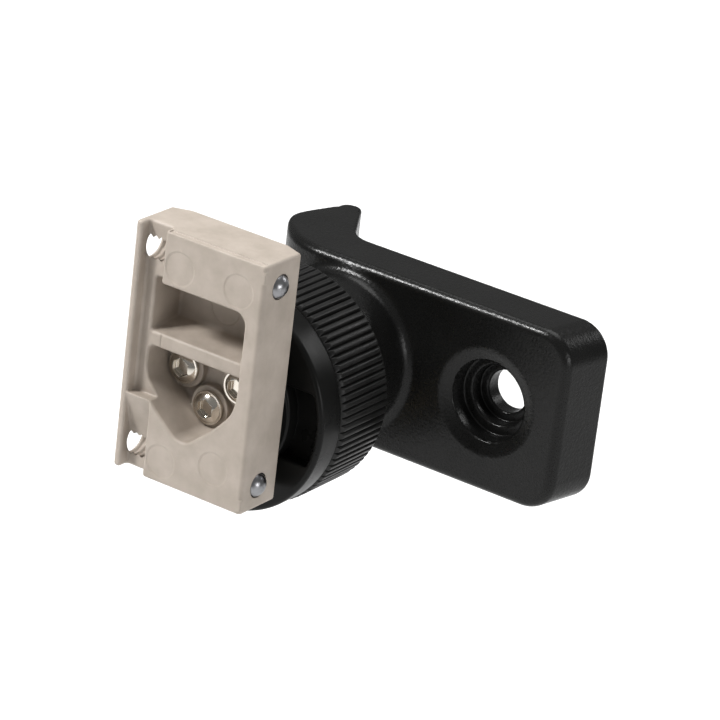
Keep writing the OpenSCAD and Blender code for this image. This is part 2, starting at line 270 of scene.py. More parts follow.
def make_piece(name, points, faces, material, body, replaces, normals=None):
    """A mesh object in metres that rides on a CAD body and stands for the CAD nodes in replaces."""
    mesh = bpy.data.meshes.new(name)
    loops = faces.tolist() if isinstance(faces, np.ndarray) else faces
    mesh.from_pydata((np.asarray(points) * MM).tolist(), [], loops)
    mesh.validate()
    mesh.polygons.foreach_set("use_smooth", [True] * len(mesh.polygons))
    mesh.update()
    if normals is not None:
        mesh.normals_split_custom_set_from_vertices(normals.tolist())
    piece = bpy.data.objects.new(name, mesh)
    bpy.context.scene.collection.objects.link(piece)
    mesh.materials.append(material)
    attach(piece, body)
    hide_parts(*replaces)
    return piece


def field_piece(name, field, low, high, cell, material, body, replaces, places=((0, 0, 0),)):
    """A piece made from a field, repeated at each place."""
    points, quads = field_surface(field, low, high, cell)
    slope = gradient(field, points)
    normals = slope / np.linalg.norm(slope, axis=1, keepdims=True).clip(1e-9, None)
    all_points = np.concatenate([points + np.array(place) for place in places])
    all_quads = np.concatenate([quads + i * len(points) for i in range(len(places))])
    all_normals = np.concatenate([normals] * len(places))
    return make_piece(name, all_points, all_quads, material, body, replaces, all_normals)


# ---------------------------------------------------------------- materials

def shader(name, color, roughness, metallic=0.0, specular=0.5):
    """A material with its principled shader, and its coordinates in metres."""
    material = bpy.data.materials.new(name)
    material.use_nodes = True
    tree = material.node_tree
    tree.nodes.clear()
    output = tree.nodes.new("ShaderNodeOutputMaterial")
    surface = tree.nodes.new("ShaderNodeBsdfPrincipled")
    tree.links.new(surface.outputs["BSDF"], output.inputs["Surface"])
    surface.inputs["Base Color"].default_value = (*color, 1)
    surface.inputs["Roughness"].default_value = roughness
    surface.inputs["Metallic"].default_value = metallic
    surface.inputs["Specular IOR Level"].default_value = specular
    place = tree.nodes.new("ShaderNodeTexCoord")
    return material, tree, surface, place.outputs["Object"]


def noise(tree, place, size_mm, detail=3.0, rough=0.55, stretch=(1, 1, 1)):
    """A noise whose features are about size_mm across."""
    mapping = tree.nodes.new("ShaderNodeMapping")
    mapping.inputs["Scale"].default_value = [s / (size_mm * MM) for s in stretch]
    tree.links.new(place, mapping.inputs["Vector"])
    texture = tree.nodes.new("ShaderNodeTexNoise")
    texture.inputs["Scale"].default_value = 1.0
    texture.inputs["Detail"].default_value = detail
    texture.inputs["Roughness"].default_value = rough
    tree.links.new(mapping.outputs["Vector"], texture.inputs["Vector"])
    return texture.outputs["Fac"]


def ramp(tree, value, low, high, stops=(0.3, 0.7)):
    """Blends two colours or greys over a value."""
    node = tree.nodes.new("ShaderNodeValToRGB")
    node.color_ramp.elements[0].position = stops[0]
    node.color_ramp.elements[1].position = stops[1]
    node.color_ramp.elements[0].color = (*low, 1)
    node.color_ramp.elements[1].color = (*high, 1)
    tree.links.new(value, node.inputs["Fac"])
    return node.outputs["Color"]


def vary_color(tree, surface, value, low, high, stops=(0.3, 0.7)):
    """Runs the base colour between two colours."""
    tree.links.new(ramp(tree, value, low, high, stops), surface.inputs["Base Color"])


def vary_roughness(tree, surface, value, low, high, stops=(0.3, 0.7)):
    """Runs the roughness between two values."""
    tree.links.new(ramp(tree, value, (low,) * 3, (high,) * 3, stops), surface.inputs["Roughness"])


def add_bumps(tree, surface, layers):
    """Stacks bump layers, each (height, distance in mm, strength)."""
    previous = None
    for height, distance_mm, strength in layers:
        bump = tree.nodes.new("ShaderNodeBump")
        bump.inputs["Distance"].default_value = distance_mm * MM
        bump.inputs["Strength"].default_value = strength
        tree.links.new(height, bump.inputs["Height"])
        if previous is not None:
            tree.links.new(previous, bump.inputs["Normal"])
        previous = bump.outputs["Normal"]
    tree.links.new(previous, surface.inputs["Normal"])


def powder_coat():
    """Satin black powder coat: a fine orange-peel skin over the casting."""
    material, tree, surface, place = shader("powder_coat_black", (0.014, 0.014, 0.0135), 0.35, 0, 0.38)
    grain = noise(tree, place, 0.3, 2.0)
    peel = noise(tree, place, 0.7, 1.5)
    patches = noise(tree, place, 14, 2.0)
    vary_color(tree, surface, patches, (0.0105, 0.0105, 0.01), (0.015, 0.015, 0.0143))
    vary_roughness(tree, surface, grain, 0.24, 0.34)
    add_bumps(tree, surface, [(peel, 0.12, 0.6), (grain, 0.035, 0.6)])
    return material


def ring_black():
    """Satin black moulding, slightly greyer where hands rub it."""
    material, tree, surface, place = shader("ring_black", (0.018, 0.018, 0.017), 0.36, 0, 0.42)
    grain = noise(tree, place, 0.25, 2.0)
    smear = noise(tree, place, 5, 3.0)
    vary_color(tree, surface, smear, (0.014, 0.014, 0.0133), (0.022, 0.022, 0.021))
    vary_roughness(tree, surface, smear, 0.32, 0.46)
    add_bumps(tree, surface, [(grain, 0.01, 0.4)])
    return material


def disc_black():
    """Semi-gloss black with a fine grain and faint soft blotches."""
    material, tree, surface, place = shader("disc_black", (0.011, 0.011, 0.0105), 0.3, 0, 0.25)
    grain = noise(tree, place, 0.3, 2.0)
    smear = noise(tree, place, 7, 3.0)
    vary_color(tree, surface, smear, (0.009, 0.009, 0.0085), (0.014, 0.014, 0.0133))
    vary_roughness(tree, surface, smear, 0.25, 0.36)
    add_bumps(tree, surface, [(grain, 0.008, 0.35)])
    return material


def block_beige():
    """Warm grey-beige satin moulding: fine grain, soft mottling, faint scuffs."""
    material, tree, surface, place = shader("block_beige", (0.50, 0.445, 0.39), 0.5)
    grain = noise(tree, place, 0.22, 3.0)
    mottle = noise(tree, place, 6, 4.0)
    scuff = noise(tree, place, 1.6, 5.0, 0.7, (1, 1, 0.25))
    vary_color(tree, surface, mottle, (0.415, 0.368, 0.32), (0.495, 0.442, 0.392))
    vary_roughness(tree, surface, scuff, 0.42, 0.58)
    add_bumps(tree, surface, [(mottle, 0.03, 0.12), (grain, 0.01, 0.45)])
    return material


def bright_metal(name, color, low, high, size_mm=0.3, stretch=(1, 1, 1), bump=0.25):
    """Machined or plated metal with fine directional marks."""
    material, tree, surface, place = shader(name, color, (low + high) / 2, 1.0)
    marks = noise(tree, place, size_mm, 4.0, 0.6, stretch)
    haze = noise(tree, place, 2.5, 3.0)
    vary_roughness(tree, surface, haze, low, high)
    dim = [c * 0.88 for c in color]
    vary_color(tree, surface, haze, dim, color)
    add_bumps(tree, surface, [(marks, 0.004, bump)])
    return material


def friction_fibre():
    """Woven friction lining: brown fibre with fine crossed threads."""
    material, tree, surface, place = shader("friction_fibre", (0.2, 0.12, 0.07), 0.85)
    along = noise(tree, place, 0.4, 2.0, 0.5, (4, 1, 1))
    across = noise(tree, place, 0.4, 2.0, 0.5, (1, 1, 4))
    vary_color(tree, surface, along, (0.13, 0.08, 0.05), (0.27, 0.17, 0.1))
    add_bumps(tree, surface, [(along, 0.06, 0.5), (across, 0.06, 0.5)])
    return material


def nylon():
    """Natural nylon with a little light passing into it."""
    material, tree, surface, place = shader("nylon", (0.72, 0.64, 0.48), 0.42)
    surface.inputs["Subsurface Weight"].default_value = 0.3
    surface.inputs["Subsurface Scale"].default_value = 0.001
    mottle = noise(tree, place, 3, 3.0)
    vary_color(tree, surface, mottle, (0.66, 0.58, 0.43), (0.76, 0.69, 0.53))
    add_bumps(tree, surface, [(noise(tree, place, 0.3), 0.01, 0.3)])
    return material


ARM_BLACK = powder_coat()
RING_BLACK = ring_black()
DISC_BLACK = disc_black()
BEIGE = block_beige()
NICKEL = bright_metal("nickel", (0.72, 0.68, 0.62), 0.1, 0.2)
CHROME = bright_metal("chrome_ball", (0.34, 0.34, 0.35), 0.26, 0.36, 0.5, bump=0.15)
STEEL = bright_metal("turned_steel", (0.55, 0.55, 0.56), 0.22, 0.36, 0.2, (1, 6, 1))
DARK_STEEL = bright_metal("dark_steel", (0.2, 0.2, 0.21), 0.3, 0.42)
SPRING_STEEL = bright_metal("spring_steel", (0.5, 0.5, 0.5), 0.2, 0.32)
BRASS = bright_metal("brass", (0.72, 0.56, 0.28), 0.22, 0.34, 0.25, (1, 6, 1))
BRONZE = bright_metal("bronze", (0.6, 0.42, 0.22), 0.35, 0.5, 0.15, bump=0.5)
ALLOY = bright_metal("sleeve_alloy", (0.62, 0.63, 0.65), 0.25, 0.38, 0.25, (1, 6, 1))
FIBRE = friction_fibre()
NYLON = nylon()


# ---------------------------------------------------------------- the arm

# The plate: its right end leans, and its edges are softer in front than at the back
HALF_H = ARM_HIGH[2]
FACE_Y = -14.0
PLATE_CORNER_R = 8.0
END_LEAN = 0.2
FRONT_SOFT = 2.1
BACK_SOFT = 0.7
FADE_START_Y = -9
FADE_RUN = 6

# The boss and stem on the swivel axis, with the spindle's bore and the recess for its nut
BOSS_Y = RING_HIGH[1] + 0.5
BOSS_R = 19.0
BOSS_FILLET = 2.8
STEM_R = 13.0
SPINDLE_R = 6.0
NUT_RECESS_R = 9.0
NUT_RECESS_Y = -8.0

# The bolt hole: a shallow dish, then steps of (radius, end y, bottom rounding, mouth rounding)
DISH_R = 13.2
DISH_SLOPE = 2.6
DISH_FLOOR_Y = FACE_Y + 1.35
HOLE_STEPS = [(10.0, -8.0, 0.35, 0.4), (7.5, -4.5, 0.3, 0.35)]
BOLT_HOLE_R = 5.25

# The curved left end and its hook: the nose, the wall inside, the tip, the inner arc and the flank
NOSE_R = 19.1
NOSE_X = AXIS_X - 9.1
NOSE_Y = NOSE_R + FACE_Y
HOOK_ANGLE = math.radians(60)
HOOK_WALL_X = NOSE_X + 0.2
HOOK_TIP_R = 3.0
HOOK_TIP_Y = ARM_HIGH[1] - HOOK_TIP_R
HOOK_TIP_X = HOOK_WALL_X - HOOK_TIP_Y / math.tan(HOOK_ANGLE) - HOOK_TIP_R / math.sin(HOOK_ANGLE)
HOOK_ARC_R = 7.6
HOOK_ARC_X = HOOK_WALL_X + HOOK_ARC_R * math.tan(HOOK_ANGLE / 2)
FLANK_X = NOSE_X - 18.6
FLANK_Y = 2.5


def arm_plan(x, y):
    """The arm from above: the plate, its curved left end, the hook and the arc inside it."""
    plate = np.maximum(between(y, FACE_Y, 0), NOSE_X - x)
    nose = tube_round(x - NOSE_X, y - NOSE_Y, NOSE_R)
    wall = (x - HOOK_WALL_X) * math.sin(HOOK_ANGLE) + y * math.cos(HOOK_ANGLE)
    run_x = HOOK_TIP_X - HOOK_TIP_R - FLANK_X
    run_y = HOOK_TIP_Y - FLANK_Y
    flank = ((y - FLANK_Y) * run_x - (x - FLANK_X) * run_y) / math.hypot(run_x, run_y)
    hook = meet(meet_all([nose, wall, y - HOOK_TIP_Y]), flank, 2.0)
    tip = tube_round(x - HOOK_TIP_X, y - HOOK_TIP_Y, HOOK_TIP_R)
    corner = meet_all([-wall - 3, y - HOOK_ARC_R * 0.5, x - HOOK_ARC_X, -y - 3])
    corner = np.maximum(corner, -tube_round(x - HOOK_ARC_X, y - HOOK_ARC_R, HOOK_ARC_R))
    return np.minimum(np.minimum(plate, corner), np.minimum(hook, tip))


def arm_field(x, y, z):
    """The cast arm: plate and hook, boss, stem, stepped bolt hole and nut recess."""
    end = (x - ARM_HIGH[0] - END_LEAN * y) / math.hypot(1, END_LEAN)
    ends = meet(end, np.abs(z) - HALF_H, PLATE_CORNER_R)
    fade = soft_step((y - FADE_START_Y) / FADE_RUN)
    soft = FRONT_SOFT + (BACK_SOFT - FRONT_SOFT) * fade
    plate = meet(arm_plan(x, y), ends, soft)
    around = length(x - AXIS_X, z)
    boss = meet(around - BOSS_R, np.maximum(BOSS_Y - y, y + 4), 0.8)
    body = join(plate, boss, BOSS_FILLET)
    stem = meet(around - STEM_R, np.maximum(ARM_LOW[1] - y, y + 20), 0.6)
    body = join(body, stem, 0.5)
    hole = length(x, z)
    dish = hole - DISH_R + np.clip(y - FACE_Y, -1, 3) * DISH_SLOPE
    dish = meet(dish, y - DISH_FLOOR_Y, 0.8)
    body = cut(body, dish, 0.5)
    for radius, end_y, bottom_soft, mouth_soft in HOLE_STEPS:
        body = cut(body, meet(hole - radius, y - end_y, bottom_soft), mouth_soft)
    body = cut(body, hole - BOLT_HOLE_R, 0.45)
    body = cut(body, meet(around - NUT_RECESS_R, NUT_RECESS_Y - y, 0.4), 0.5)
    return cut(body, around - SPINDLE_R, 0.3)


def build_arm():
    """The cast arm."""
    field_piece("cast_arm", arm_field, ARM_LOW, ARM_HIGH, 0.5, ARM_BLACK, "bracket",
                ["bracket_casting"])


# ---------------------------------------------------------------- the lock ring

def build_ring():
    """Ribs with V grooves between them, chamfered at both ends, on a plain bored ring.

    One rib is (share of its pitch, depth below the crest). One step along the ring is (depth y,
    least radius, most radius), and the ribs are clipped to those radii.
    """
    ribs = 92
    crest_r = RING_HIGH[2]
    bore_r = LINER_HIGH[2]
    bore_cut = 0.5
    rib = [(0.0, 0.80), (0.12, 0.40), (0.20, 0.12), (0.26, 0.03), (0.38, 0.0), (0.5, 0.0),
           (0.62, 0.0), (0.74, 0.03), (0.80, 0.12), (0.88, 0.40)]
    turns = np.array([(i + t) / ribs for i in range(ribs) for t, _ in rib])
    depth = np.array([d for _ in range(ribs) for _, d in rib])
    front = RING_LOW[1]
    back = RING_HIGH[1]
    steps = [
        (front + 0.6, bore_r, bore_r),
        (front, bore_r + bore_cut, bore_r + bore_cut),
        (front, crest_r - 1.35, crest_r - 1.35),
        (front + 0.12, crest_r - 1.05, crest_r - 1.05),
        (front + 0.55, 0, crest_r - 0.62),
        (front + 0.95, 0, crest_r - 0.22),
        (front + 1.25, 0, crest_r - 0.05),
        (front + 1.6, 0, crest_r),
        ((front + back) / 2, 0, crest_r),
        (back - 1.2, 0, crest_r),
        (back - 0.9, 0, crest_r - 0.08),
        (back - 0.35, 0, crest_r - 0.5),
        (back - 0.1, crest_r - 1.0, crest_r - 1.0),
        (back, crest_r - 1.3, crest_r - 1.3),
        (back, bore_r + bore_cut, bore_r + bore_cut),
        (back - 0.5, bore_r, bore_r),
    ]
    rows = []
    for y, least, most in steps:
        radius = np.clip(crest_r - depth, least, most)
        rows.append(np.stack([AXIS_X + radius * np.cos(turns * TURN), np.full(len(turns), y),
                              radius * np.sin(turns * TURN)], axis=1))
    points, faces = loft(rows, closed=True)
    piece = make_piece("ribbed_ring", points, faces, RING_BLACK, "lock_ring",
                       ["lock_ring"])
    sharpen(piece, 38)


def loft(rows, closed=False):
    """Quads between closed rows of points; closed also joins the last row to the first."""
    width = len(rows[0])
    count = len(rows)
    faces = []
    for r in range(count if closed else count - 1):
        for i in range(width):
            j = (i + 1) % width
            s = (r + 1) % count
            faces.append((r * width + i, s * width + i, s * width + j, r * width + j))
    return np.concatenate(rows), faces


def sharpen(piece, degrees):
    """Shades smooth, with edges sharper than the angle left crisp."""
    bpy.context.view_layer.objects.active = piece
    piece.select_set(True)
    bpy.ops.object.shade_smooth_by_angle(angle=math.radians(degrees))
    piece.select_set(False)


# ---------------------------------------------------------------- the swivel head

HUB_R = 17.3
POCKET_R = 25.3
POCKET_HALF_H = 9.0
POCKET_D = 3.4
POCKET_GAP = 0.6
DISC_R = DISC_HIGH[2]
DISC_W = 7.5
RIM_Y = DISC_HIGH[1] - DISC_W
SCREW_DX = 7.9
SCREW_DZ = 7.7
SHANK_R = 2.0


def disc_field(x, y, z):
    """The disc: a rounded rim, a hub that carries the block, and two pockets in its face."""
    around = length(x - AXIS_X, z)
    rim = meet(around - DISC_R, RIM_Y - y, 1.1)
    rim = meet(rim, y - DISC_HIGH[1], 0.3)
    pocket = meet(around - POCKET_R, np.abs(z) - POCKET_HALF_H, 0.8)
    pocket = meet(pocket, y - (RIM_Y + POCKET_D), 0.3)
    rim = cut(rim, cut(pocket, around - HUB_R - POCKET_GAP), 0.35)
    hub = meet(around - HUB_R, np.maximum(DISC_LOW[1] - y, y - DISC_HIGH[1]), 0.3)
    body = np.maximum(join(rim, hub, 0.6), y - DISC_HIGH[1])
    body = cut(body, around - BUSH_HIGH[2], 0.2)
    for side in (-1, 1):
        bore = length(x - AXIS_X - side * SCREW_DX, z - SCREW_DZ) - SHANK_R
        body = cut(body, meet(bore, y - SCREWS_HIGH[1]), 0.1)
    return body


def build_disc():
    """The disc and its hub."""
    field_piece("hub_disc", disc_field, DISC_LOW, DISC_HIGH, 0.33, DISC_BLACK, "swivel_head",
                ["swivel_disc"])


# The block is measured in u right, v back and w up from its lower left front corner.
# Its plan: bevelled back corners, and front corners that are sharper at the two stops
BEVEL_U = 4.8
BEVEL_V = 1.9
CORNER_SOFT = 1.2
CORNER_SHARP = 0.75
LOW_STOP_W = 2.3
HIGH_STOP_W = 58.0
STOP_HALF_H = 1.35
TOP_STEP_LEFT = 9.4
TOP_STEP_V = 1.5

# The channel down its left side, and the wedge that rises in it to a ledge
CHANNEL_LEFT = 1.9
CHANNEL_RIGHT = 8.5
CHANNEL_D = 3.0
WEDGE_TOP_W = 19.1
WEDGE_DROP = 10.1

# The two pockets, the crossbar between them and the round mark on the upper pocket's floor
FLOOR_V = BLOCK_SIZE[1] - 2.0
POCKET_LEFT = 4.7
POCKET_RIGHT = 32.3
POCKET_TOP_W = 48.0
POCKET_CORNER_R = 3.0
POCKET_POINT_R = 3.4
BAR_TOP_W = 34.6
BAR_LOW_W = 30.0
BAR_HIGH_W = 36.0
BAR_SLOPE = 0.149
LOW_POCKET = [(4.5, 31.2), (4.5, 23.6), (7.4, 19.6), (18.45, 10.8), (29.6, 20.4), (32.0, 24.2),
              (32.3, 31.2)]
FLOOR_MARK = (17.9, 41.5)

# The round marks that ejector pins leave
MARK_R = 4.2
MARK_D = 0.16
FACE_MARKS = [(13.3, 53.0), (29.8, 52.9), (13.3, 5.4), (28.0, 8.7)]

# The three screw seats
AXIS_U = AXIS_X - BLOCK_LOW[0]
AXIS_W = -BLOCK_LOW[2]
SEAT_V = WASHERS_HIGH[1] - BLOCK_LOW[1]
SEAT_R = 5.2
SEAT_BORE_R = 3.26
SCREW_SPOTS = [
    (AXIS_U, AXIS_W), (AXIS_U - SCREW_DX, AXIS_W + SCREW_DZ), (AXIS_U + SCREW_DX, AXIS_W + SCREW_DZ)]

# The two plunger bores: tapped from the left, with a rim at the right that keeps the ball in
THREAD_PITCH = 1.6
TAP_L = 24.0
CREST_R = 3.95
TOOTH_H = 0.35
BALL_BORE_R = 3.3
BALL_RIM_R = 2.95
BALL_RIM_T = 0.3


def mark_depth(across, up):
    """How far an ejector pin's round mark is sunk, with a soft step at its edge."""
    return MARK_D * soft_step((MARK_R - length(across, up)) / 0.4)


def block_plan(u, v, w):
    """The block from above, with its channel."""
    wide, deep, _ = BLOCK_SIZE
    stop = np.minimum(np.abs(w - LOW_STOP_W), np.abs(w - HIGH_STOP_W)) - STOP_HALF_H
    edge = CORNER_SOFT - CORNER_SHARP * np.clip(0.5 - stop / 0.3, 0, 1)
    plan = meet(u - wide, -v, edge)
    plan = meet(plan, -u, 0.9)
    slope = math.hypot(BEVEL_U, BEVEL_V)
    left_bevel = (BEVEL_V * (BEVEL_U - u) + BEVEL_U * (v - deep)) / slope
    right_bevel = (BEVEL_V * (u - wide + BEVEL_U) + BEVEL_U * (v - deep)) / slope
    back = meet_all([v - deep, left_bevel, right_bevel], 0.3)
    plan = meet(plan, back, 0.4)
    channel = meet(between(u, CHANNEL_LEFT, CHANNEL_RIGHT), v - CHANNEL_D, 0.7)
    return cut(plan, channel, 0.7)


def block_wedge(u, v, w):
    """The wedge in the channel: a ramp that rises to a ledge."""
    ramp_run = math.hypot(CHANNEL_D, WEDGE_DROP)
    ramp_face = -(WEDGE_DROP * v + CHANNEL_D * (w - WEDGE_TOP_W)) / ramp_run
    wedge = meet_all([w - WEDGE_TOP_W, ramp_face], 0.35)
    return meet_all([wedge, between(u, 1.0, 8.9), v - 4.0])


def upper_pocket(u, v, w):
    """The upper pocket, which narrows a little towards its floor, over the crossbar's sloping top."""
    draft = 0.03 * v
    pocket = meet(u - POCKET_RIGHT + draft, w - POCKET_TOP_W + draft, POCKET_CORNER_R)
    bar_top = BAR_TOP_W + BAR_SLOPE * np.maximum(v - CHANNEL_D, 0) - w
    pocket = meet(pocket, bar_top, POCKET_CORNER_R)
    pocket = meet(pocket, POCKET_LEFT - u + draft, 0.8)
    floor_mark = 1.5 * mark_depth(u - FLOOR_MARK[0], w - FLOOR_MARK[1])
    return meet(pocket, v - FLOOR_V - floor_mark, 0.8)


def lower_pocket(u, v, w):
    """The lower pocket, whose sides run down to a blunt point."""
    outline = sides(u, w, LOW_POCKET)
    pocket = meet(outline[2], outline[3], POCKET_POINT_R)
    pocket = meet_all([pocket, *outline[:2], *outline[4:]], 1.8) + 0.05 * v
    return meet(pocket, v - FLOOR_V, 1.2)


def plunger_bore(u, v, w, height):
    """A bore right across the block: tapped from the left, smooth at the ball's end."""
    dv = v - (BORE_Y - BLOCK_LOW[1])
    dw = w - height
    around = length(dv, dw)
    depth = thread_depth(u, np.arctan2(dw, dv), THREAD_PITCH)
    tapped = around - (CREST_R + TOOTH_H * depth)
    tapped = meet(tapped, u - TAP_L)
    smooth = meet(around - BALL_BORE_R, u - (BLOCK_SIZE[0] - BALL_RIM_T))
    mouth = around - BALL_RIM_R
    return np.minimum(np.minimum(tapped, smooth), meet(mouth, BLOCK_SIZE[0] / 2 - u))


def block_field(x, y, z):
    """The slide block: channel and wedge on the left, two pockets, a crossbar, screw seats, bores."""
    u = x - BLOCK_LOW[0]
    v = y - BLOCK_LOW[1]
    w = z - BLOCK_LOW[2]
    wide, deep, high = BLOCK_SIZE
    body = meet(block_plan(u, v, w), between(w, 0, high), 0.8)
    step = meet_all([between(u, TOP_STEP_LEFT, wide - 0.9), v - TOP_STEP_V, high - 0.28 - w], 0.05)
    body = cut(body, step, 0.05)
    body = join(body, block_wedge(u, v, w), 0.35)
    bar = meet_all([v - CHANNEL_D, 8.0 - u, u - POCKET_RIGHT, between(w, BAR_LOW_W, BAR_HIGH_W)])
    body = cut(body, bar, 0.5)
    body = cut(body, upper_pocket(u, v, w), 0.7)
    body = cut(body, lower_pocket(u, v, w), 0.7)
    for spot_u, spot_w in SCREW_SPOTS:
        around = length(u - spot_u, w - spot_w)
        seat = meet_all([around - SEAT_R, SEAT_V - v, v - deep + 0.5], 0.25)
        body = join(body, seat, 0.35)
        body = cut(body, around - SEAT_BORE_R, 0.1)
    sunk = 0.0
    for mark_u, mark_w in FACE_MARKS:
        sunk = np.maximum(sunk, mark_depth(u - mark_u, w - mark_w))
    body = meet(body, sunk - v)
    for height in (BORE_TOP_Z - BLOCK_LOW[2], BORE_BOTTOM_Z - BLOCK_LOW[2]):
        body = cut(body, plunger_bore(u, v, w, height), 0.06)
    return body


def build_block():
    """The slide block."""
    field_piece("channel_block", block_field, BLOCK_LOW, BLOCK_HIGH, 0.26, BEIGE, "swivel_head",
                ["slide_block"])


# ---------------------------------------------------------------- screws, washers, nut, springs

HEAD_R = 3.9
HEAD_H = 2.0
SCREW_PITCH = 0.7
SCREW_THREAD_H = 0.4
SOCKET_HALF = 2.0
SOCKET_D = 1.7
WASHER_IN_R = 2.1
WASHER_R = 4.1
STUD_R = 4.0
STUD_PITCH = 1.25
STUD_THREAD_H = 0.6
JOURNAL_R = 3.2
SET_THREAD_R = 3.3
SET_THREAD_H = 0.72
SET_SOCKET_D = 3.5
NUT_CONE_R = 6.6
NUT_CONE_SLOPE = 1.9
SPRING_WIRE_R = 0.3
SPRING_COILS = 7


def lathe(name, centre, profile, material, body, replaces, places=((0, 0, 0),)):
    """A ring turned from a closed profile of (along, radius) points, about Y."""
    segments = 64
    angles = np.arange(segments) / segments * TURN
    rows = []
    for along, radius in profile:
        first = radius * np.cos(angles)
        second = radius * np.sin(angles)
        rows.append(np.stack([centre[0] + first, np.full(segments, along), centre[1] + second], axis=1))
    points, faces = loft(rows, closed=True)
    count = len(points)
    all_points = np.concatenate([points + np.array(place) for place in places])
    all_faces = [tuple(v + i * count for v in face) for i in range(len(places)) for face in faces]
    piece = make_piece(name, all_points, all_faces, material, body, replaces)
    sharpen(piece, 35)


def washer_profile(front, back, inner_r, outer_r, chamfer):
    """A flat ring's section, with its four corners broken."""
    return [
        (back, inner_r + chamfer), (back - chamfer, inner_r), (front + chamfer, inner_r),
        (front, inner_r + chamfer), (front, outer_r - chamfer), (front + chamfer, outer_r),
        (back - chamfer, outer_r), (back, outer_r - chamfer)]


def button_field(low, high, centre_x, centre_z):
    """A button-head screw along Y: a dome with a hexagon socket, and a threaded shank."""
    def field(x, y, z):
        dx = x - centre_x
        dz = z - centre_z
        around = length(dx, dz)
        under = low[1] + HEAD_H
        dome_r = (HEAD_R * HEAD_R + HEAD_H * HEAD_H) / (2 * HEAD_H)
        dome = np.sqrt(around * around + (y - low[1] - dome_r) ** 2) - dome_r
        head = meet(dome, y - under, 0.15)
        head = meet(head, low[1] + 0.28 - y, 0.25)
        depth = thread_depth(y, np.arctan2(dz, dx), SCREW_PITCH)
        shank = around - SHANK_R + SCREW_THREAD_H * depth
        shank = meet(shank, np.maximum(under - 0.5 - y, y - high[1]), 0.2)
        body = join(head, shank, 0.1)
        socket = meet(hexagon(dx, dz, SOCKET_HALF), y - (low[1] + SOCKET_D), 0.1)
        return cut(body, socket, 0.14)
    return field


def build_screws():
    """Three button-head screws, two that turn with the head and one fixed on the axis, with washers."""
    spread = SCREWS_HIGH[0] - SCREWS_LOW[0] - (SCREWS_HIGH[2] - SCREWS_LOW[2])
    left_x = AXIS_X - spread / 2
    screw_z = (SCREWS_LOW[2] + SCREWS_HIGH[2]) / 2
    low = np.array([left_x - HEAD_R, SCREWS_LOW[1], screw_z - HEAD_R])
    high = np.array([left_x + HEAD_R, SCREWS_HIGH[1], screw_z + HEAD_R])
    cell = 0.16
    field_piece("block_screw_pair", button_field(low, high, left_x, screw_z), low, high, cell, NICKEL,
                "swivel_head", ["block_screws"], ((0, 0, 0), (spread, 0, 0)))
    field_piece("pivot_screw_turned", button_field(PIVOT_LOW, PIVOT_HIGH, AXIS_X, 0.0), PIVOT_LOW,
                PIVOT_HIGH, cell, NICKEL, "bracket", ["pivot_screw"])
    section = washer_profile(WASHERS_LOW[1], WASHERS_HIGH[1], WASHER_IN_R, WASHER_R, 0.12)
    lathe("block_washer_pair", (left_x, screw_z), section, NICKEL, "swivel_head",
          ["block_washers"], places=((0, 0, 0), (spread, 0, 0)))
    section = washer_profile(PIVOT_WASHER_LOW[1], PIVOT_WASHER_HIGH[1], WASHER_IN_R, WASHER_R, 0.12)
    lathe("pivot_washer_turned", (AXIS_X, 0.0), section, NICKEL, "bracket", ["pivot_washer"])


def nut_field(x, y, z):
    """The spindle's hexagon nut, chamfered on its outer face."""
    dx = x - AXIS_X
    around = length(dx, z)
    body = hexagon(dx, z, (NUT_HIGH[2] - NUT_LOW[2]) / 2, TURN / 12)
    body = meet(body, np.maximum(NUT_LOW[1] - y, y - NUT_HIGH[1]), 0.12)
    cone = (around - NUT_CONE_R + (y - NUT_HIGH[1]) * NUT_CONE_SLOPE) / math.hypot(1, NUT_CONE_SLOPE)
    body = meet(body, cone, 0.1)
    return cut(body, around - STUD_R, 0.35)


def spindle_field(x, y, z):
    """The spindle: a journal in front, a thick middle and a threaded stud for the nut."""
    dx = x - AXIS_X
    around = length(dx, z)
    shoulder = BUSH_LOW[1] - 0.2
    middle_end = NUT_WASHER_LOW[1] - 1.0
    middle = meet(around - SPINDLE_R, np.maximum(shoulder - y, y - middle_end), 0.35)
    journal = meet(around - JOURNAL_R, np.maximum(SPINDLE_LOW[1] - y, y - shoulder - 1), 0.2)
    depth = thread_depth(y, np.arctan2(z, dx), STUD_PITCH) * (y > NUT_HIGH[1] - 0.4)
    stud = around - STUD_R + STUD_THREAD_H * depth
    stud = meet(stud, np.maximum(middle_end - 1 - y, y - SPINDLE_HIGH[1]), 0.4)
    body = join(join(middle, journal, 0.2), stud, 0.2)
    return cut(body, meet(around - SHANK_R, y - (PIVOT_HIGH[1] + 0.5)), 0.15)


def build_spindle():
    """The spindle with its nut and washer."""
    field_piece("spindle_turned", spindle_field, SPINDLE_LOW, SPINDLE_HIGH, 0.3, STEEL, "bracket",
                ["pivot_spindle"])
    field_piece("spindle_nut_chamfered", nut_field, NUT_LOW, NUT_HIGH, 0.25, STEEL, "bracket",
                ["spindle_nut"])
    section = washer_profile(NUT_WASHER_LOW[1], NUT_WASHER_HIGH[1], STUD_R + 0.15, NUT_WASHER_HIGH[2],
                             0.15)
    lathe("spindle_washer_turned", (AXIS_X, 0.0), section, STEEL, "bracket",
          ["spindle_washer"])


def set_screw_field(x, y, z):
    """The upper set screw: a threaded plug with a hexagon socket in its left end."""
    dy = y - BORE_Y
    dz = z - BORE_TOP_Z
    depth = thread_depth(x - BLOCK_LOW[0], np.arctan2(dz, dy), THREAD_PITCH)
    thread = length(dy, dz) - (SET_THREAD_R + SET_THREAD_H * depth)
    body = meet(thread, between(x, SET_LOW[0], SET_HIGH[0]), 0.4)
    socket = hexagon(dy, dz, SOCKET_HALF)
    return cut(body, meet(socket, x - (SET_LOW[0] + SET_SOCKET_D), 0.1), 0.15)


